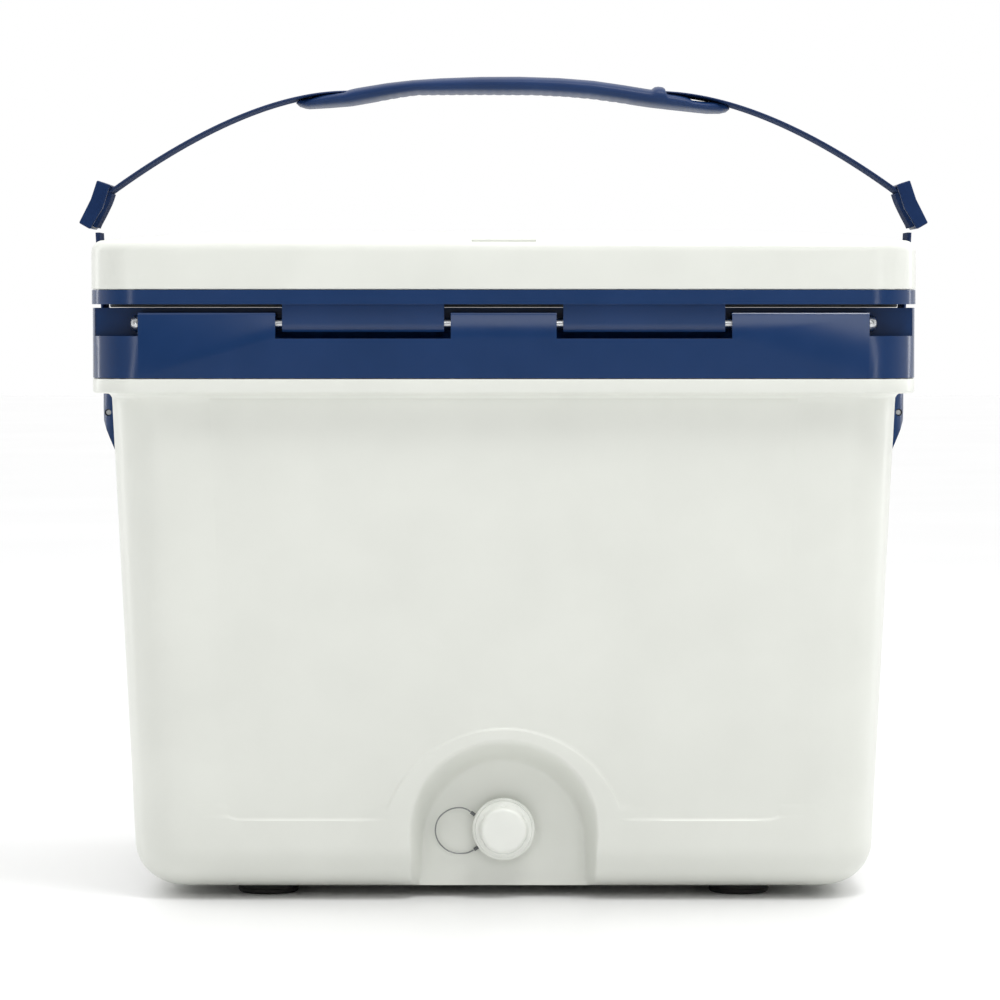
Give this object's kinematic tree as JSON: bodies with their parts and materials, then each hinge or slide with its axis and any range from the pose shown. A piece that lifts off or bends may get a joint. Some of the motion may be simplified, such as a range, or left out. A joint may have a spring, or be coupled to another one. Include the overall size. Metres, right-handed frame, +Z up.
{
  "type": "hard cooler",
  "caption": "Tapered hard-sided chest cooler with a hinged insulated lid, front latches, low rubber feet, a screw drain plug and an adjustable shoulder strap.",
  "frame": {"origin": "on the ground under the middle of the cooler", "axes": "+Z up, +X to the right when the hinge side faces the viewer, -Y towards the hinge and drain side, +Y towards the latches"},
  "size_m": [0.5382, 0.36, 0.506],
  "materials": {
    "shell_white": "smooth rotomoulded satin gloss",
    "liner_white": "smooth moulded satin",
    "navy_plastic": "moulded satin",
    "foam": "cut polyurethane foam",
    "stainless_steel": "drawn and polished",
    "black_rubber": "moulded matte rubber",
    "latch_rubber": "moulded matte rubber",
    "drain_plastic": "moulded satin gloss",
    "tether_wire": "stranded wire",
    "crimp_metal": "grey crimped sleeve",
    "webbing": "woven polyester webbing",
    "gasket": "extruded soft rubber",
    "pad_rubber": "moulded soft touch rubber",
    "adjuster_plastic": "moulded acetal"
  },
  "bodies": {
    "tub": {"tub_shell": "shell_white", "tub_foam": "foam", "tub_liner": "liner_white", "rim_frame": "navy_plastic", "foot_back_left": "black_rubber", "foot_back_right": "black_rubber", "foot_front_left": "black_rubber", "foot_front_right": "black_rubber", "foot_screw_back_left": "stainless_steel", "foot_screw_back_right": "stainless_steel", "foot_screw_front_left": "stainless_steel", "foot_screw_front_right": "stainless_steel", "hinge_rod": "stainless_steel", "hinge_rod_cap_left": "stainless_steel", "hinge_rod_cap_right": "stainless_steel", "drain_fitting": "drain_plastic", "drain_washer": "black_rubber", "drain_nut": "drain_plastic", "drain_tether": "tether_wire", "tether_crimp_lower": "crimp_metal", "side_bracket_left": "navy_plastic", "anchor_pin_left": "stainless_steel", "bracket_screw_left_back": "stainless_steel", "bracket_screw_left_front": "stainless_steel", "lower_webbing_left": "webbing", "side_bracket_right": "navy_plastic", "anchor_pin_right": "stainless_steel", "bracket_screw_right_back": "stainless_steel", "bracket_screw_right_front": "stainless_steel", "lower_webbing_right": "webbing"},
    "lid": {"lid_shell": "shell_white", "lid_frame": "navy_plastic", "lid_liner": "liner_white", "lid_foam": "foam", "lid_gasket": "gasket", "latch_pin_left": "stainless_steel", "latch_pin_right": "stainless_steel"},
    "latch_left": {"latch_left": "latch_rubber"},
    "latch_right": {"latch_right": "latch_rubber"},
    "plug_collar": {"plug_collar": "drain_plastic", "tether_crimp_upper": "crimp_metal"},
    "drain_plug": {"drain_plug": "drain_plastic", "plug_oring": "black_rubber"},
    "shoulder_strap": {"shoulder_pad": "pad_rubber", "upper_webbing_left": "webbing", "upper_webbing_right": "webbing", "adjuster_left": "adjuster_plastic", "adjuster_right": "adjuster_plastic"}
  },
  "joints": [
    {"name": "lid_hinge", "type": "hinge", "parent": "tub", "child": "lid", "pos_m": [0, -0.1695, 0.35], "axis": [1, 0, 0], "range_deg": [0, 95], "deforming": ["lower_webbing_left", "lower_webbing_right"]},
    {"name": "latch_left_turn", "type": "hinge", "parent": "lid", "child": "latch_left", "pos_m": [-0.13, 0.168, 0.383], "axis": [1, 0, 0], "range_deg": [-6, 80]},
    {"name": "latch_right_turn", "type": "hinge", "parent": "lid", "child": "latch_right", "pos_m": [0.13, 0.168, 0.383], "axis": [1, 0, 0], "range_deg": [-6, 80]},
    {"name": "plug_travel", "type": "slide", "parent": "tub", "child": "plug_collar", "axis": [0, -1, 0], "range_m": [0, 0.012], "deforming": ["drain_tether"]},
    {"name": "plug_turn", "type": "hinge", "parent": "plug_collar", "child": "drain_plug", "pos_m": [0, -0.1393, 0.0424], "axis": [0, -1, 0], "range_deg": [0, 1440]},
    {"name": "strap_swing", "type": "hinge", "parent": "lid", "child": "shoulder_strap", "pos_m": [0, 0, 0.412], "axis": [1, 0, 0], "range_deg": [-60, 60]}
  ],
  "couplings": [
    {"joint": "plug_turn", "follows": "plug_travel", "rad_per_m": 2094.4}
  ]
}
